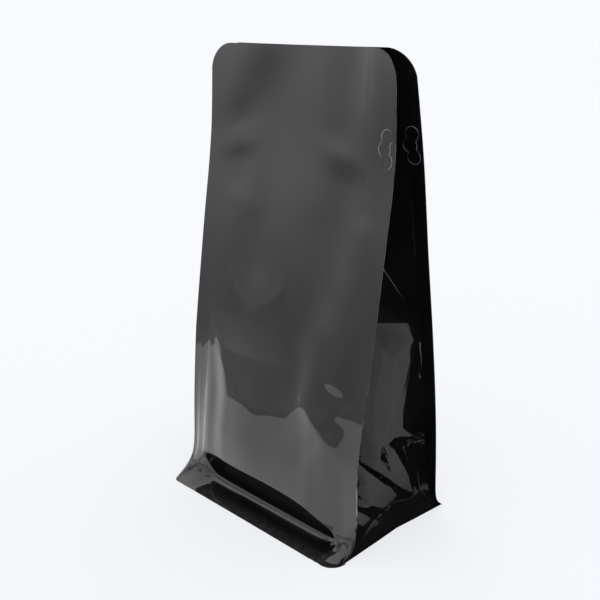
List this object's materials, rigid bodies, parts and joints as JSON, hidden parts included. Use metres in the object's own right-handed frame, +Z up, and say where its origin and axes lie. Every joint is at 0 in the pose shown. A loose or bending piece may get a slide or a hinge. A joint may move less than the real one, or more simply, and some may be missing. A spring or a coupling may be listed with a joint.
{
  "type": "flat-bottom pouch",
  "caption": "Empty flat-bottom film pouch standing open, with welded side seals, inward-folded side gussets and flared bottom seals.",
  "frame": {"origin": "bottom centre of the bounding box, on the surface the pouch stands on", "axes": "+Z up from the base to the mouth, -Y out of the front panel with the long bottom fin, +X along the pouch's width"},
  "size_m": [0.135, 0.0924, 0.2565],
  "materials": {
    "black_film": "smooth gloss black laminated film with soft waves and sharp creases"
  },
  "bodies": {
    "root": {"pouch": "black_film"}
  },
  "joints": []
}
